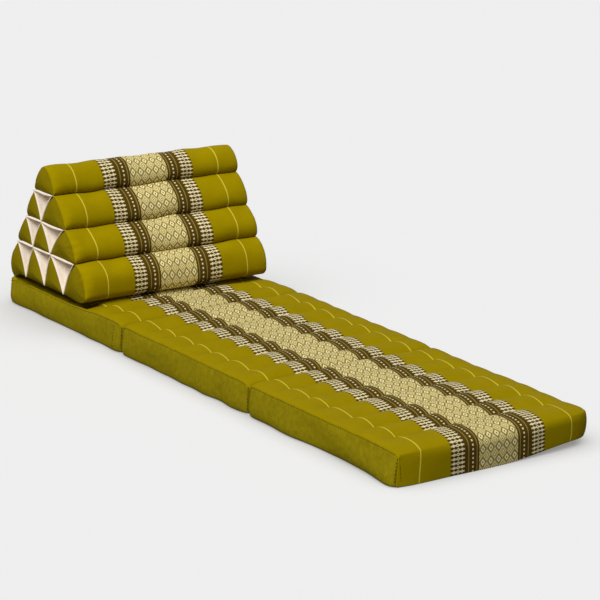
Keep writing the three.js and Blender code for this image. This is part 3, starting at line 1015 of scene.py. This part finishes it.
for level, row in enumerate(tubeRows):
    for index in range(row.tubes):
        label = "row" + str(level + 1) + "_" + str(index + 1)
        seed = 100 + 10 * level + index
        piece, grid = makeTube("roll_" + label, level, index, seed)
        putInPlace(piece, "tube_" + label)
        for side, sideName in bothSides:
            cap = makeCap("roll_end_" + sideName + "_" + label, grid, level, side, seed + side)
            putInPlace(cap, "end_cap_" + sideName + "_" + label)
        if index > 0:
            gapLabel = "row" + str(level + 1) + "_" + str(index)
            lining, girth = makeLining("hollow_lining_" + gapLabel, level, index - 1, seed + 50)
            putInPlace(lining, "gap_lining_" + gapLabel)
print("back rest made")


# floor, light and camera

studio = Plan(
    floorTone=(0.60, 0.60, 0.60),
    floorGlow=0.245,  # keeps the shadows pale
    floorSize=120.0, floorLevel=-0.0006,
    suns=[  # where each comes from, its strength and how wide it is
        ("frontSun", (-0.60, -0.27, 0.75), 3.00, math.radians(32)),
        ("backSun", (0.80, 0.50, 0.30), 1.00, math.radians(90)),
        ("floorSun", (-0.10, -0.05, 1.0), 2.83, math.radians(104)),
    ],
    floorLight="floorSun",  # lights the floor only, and the others leave it alone
    skyStrength=0.13, backTone=0.863,
)


def makeStudio():
    white = (1, 1, 1, 1)
    half, level = studio.floorSize / 2, studio.floorLevel
    mesh = bpy.data.meshes.new("floor")
    mesh.from_pydata([(x * half, y * half, level) for x, y in ((-1, -1), (1, -1), (1, 1), (-1, 1))],
                     [], [(0, 1, 2, 3)])
    floor = addObject("floor", mesh)
    floor.visible_diffuse = False  # throws no light back on the flanks
    material = bpy.data.materials.new("paleFloor")
    material.use_nodes = True
    setInputs(material.node_tree.nodes["Principled BSDF"], {
        "Base Color": (*studio.floorTone, 1), "Roughness": 1.0, "Specular IOR Level": 0.0,
        "Emission Color": white, "Emission Strength": studio.floorGlow})
    mesh.materials.append(material)

    for name, comesFrom, strength, width in studio.suns:
        lit = bpy.data.collections.new("litBy_" + name)
        lit.objects.link(floor)
        onFloor = name == studio.floorLight
        lit.collection_objects[0].light_linking.link_state = "INCLUDE" if onFloor else "EXCLUDE"
        sun = bpy.data.lights.new(name, "SUN")
        sun.energy = strength
        sun.angle = width
        sunObject = addObject(name, sun)
        sunObject.rotation_mode = "QUATERNION"
        sunObject.rotation_quaternion = Vector(comesFrom).to_track_quat("Z", "Y")
        sunObject.light_linking.receiver_collection = lit

    # an even sky lights the cushion, and the camera sees a plain wall in its place
    scene.world = bpy.data.worlds.new("studioWorld")
    scene.world.use_nodes = True
    nodes = scene.world.node_tree.nodes
    sky = nodes["Background"]
    setInputs(sky, {"Color": white, "Strength": studio.skyStrength})
    back = nodes.new("ShaderNodeBackground")
    setInputs(back, {"Color": (studio.backTone,) * 3 + (1,)})
    mix = nodes.new("ShaderNodeMixShader")
    path = nodes.new("ShaderNodeLightPath")
    setInputs(mix, {0: path.outputs["Is Camera Ray"], 1: sky.outputs[0], 2: back.outputs[0]})
    setInputs(nodes["World Output"], {"Surface": mix.outputs[0]})


photoCamera = Plan(
    place=(-3.7965, -5.7287, 2.1666), target=(0.3377, 0.4244, 0.0), lens=187.34,
    sensor=36, farthest=500,
)


def makeCamera():
    camera = bpy.data.cameras.new("photoCamera")
    camera.sensor_width = photoCamera.sensor
    camera.lens = photoCamera.lens
    camera.clip_end = photoCamera.farthest
    cameraObject = addObject("photoCamera", camera)
    cameraObject.location = photoCamera.place
    look = Vector(photoCamera.target) - Vector(photoCamera.place)
    cameraObject.rotation_mode = "QUATERNION"
    cameraObject.rotation_quaternion = look.to_track_quat("-Z", "Y")
    scene.camera = cameraObject
    scene.view_settings.view_transform = "Standard"


makeStudio()
makeCamera()
print("studio and camera made")
